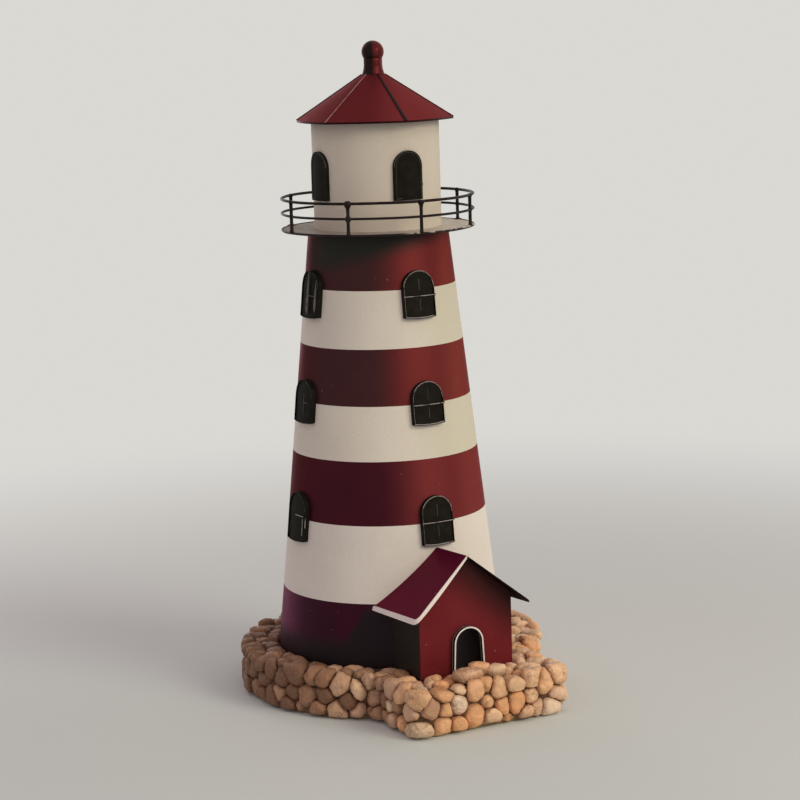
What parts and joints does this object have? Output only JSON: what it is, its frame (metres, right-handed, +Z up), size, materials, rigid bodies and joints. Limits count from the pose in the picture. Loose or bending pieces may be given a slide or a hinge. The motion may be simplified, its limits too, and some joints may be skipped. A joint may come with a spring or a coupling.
{
  "type": "model lighthouse",
  "caption": "Sheet-metal model lighthouse with a tapered banded tower, a railed gallery, a ribbed lantern roof and a small cottage on a pebble bank.",
  "frame": {"origin": "the tower's axis at the underside of the base board and pebble bank", "axes": "+Z up along the tower's axis; the cottage and its doorway face -Y; +X to the right of someone facing the doorway"},
  "size_m": [0.23, 0.27, 0.48],
  "materials": {
    "red_paint": "satin enamel, deep maroon red",
    "white_paint": "matt enamel with a fine grain, warm white",
    "roof_red": "semi-gloss enamel, red",
    "dark_edge": "semi-gloss enamel, near-black red",
    "black_paint": "semi-gloss black with worn bright edges",
    "black_wire": "black-brown lacquered wire",
    "deck_paint": "satin, pale grey",
    "white_trim": "matt off-white",
    "pebbles": "rounded tan gravel, glued",
    "board": "plain fibreboard"
  },
  "bodies": {
    "root": {"base_board": "board", "pebble_bank_front": "pebbles", "pebble_bank_left": "pebbles", "pebble_bank_right": "pebbles", "pebble_bank_back": "pebbles", "tower_foot_red": "red_paint", "tower_low_white": "white_paint", "tower_low_red": "red_paint", "tower_mid_white": "white_paint", "tower_mid_red": "red_paint", "tower_high_white": "white_paint", "tower_high_red": "red_paint", "lower_windows": "black_paint", "middle_windows": "black_paint", "upper_windows": "black_paint", "lantern_windows": "black_paint", "gallery_deck": "deck_paint", "gallery_rim_wire": "black_wire", "railing_segment_1": "black_wire", "railing_segment_2": "black_wire", "railing_segment_3": "black_wire", "railing_segment_4": "black_wire", "railing_segment_5": "black_wire", "railing_segment_6": "black_wire", "railing_segment_7": "black_wire", "railing_segment_8": "black_wire", "lantern_room": "white_paint", "roof_hem": "dark_edge", "roof_gore_1": "roof_red", "roof_gore_2": "roof_red", "roof_gore_3": "roof_red", "roof_gore_4": "roof_red", "roof_gore_5": "roof_red", "roof_gore_6": "roof_red", "roof_seams": "black_paint", "finial_stem": "roof_red", "finial_ball": "roof_red", "cottage_front_wall": "red_paint", "cottage_wall_left": "red_paint", "cottage_wall_right": "red_paint", "cottage_roof_left": "red_paint", "cottage_roof_right": "red_paint", "cottage_verge_trim": "white_trim", "cottage_eave_trim": "white_trim", "cottage_door_frame": "white_trim"}
  },
  "joints": []
}
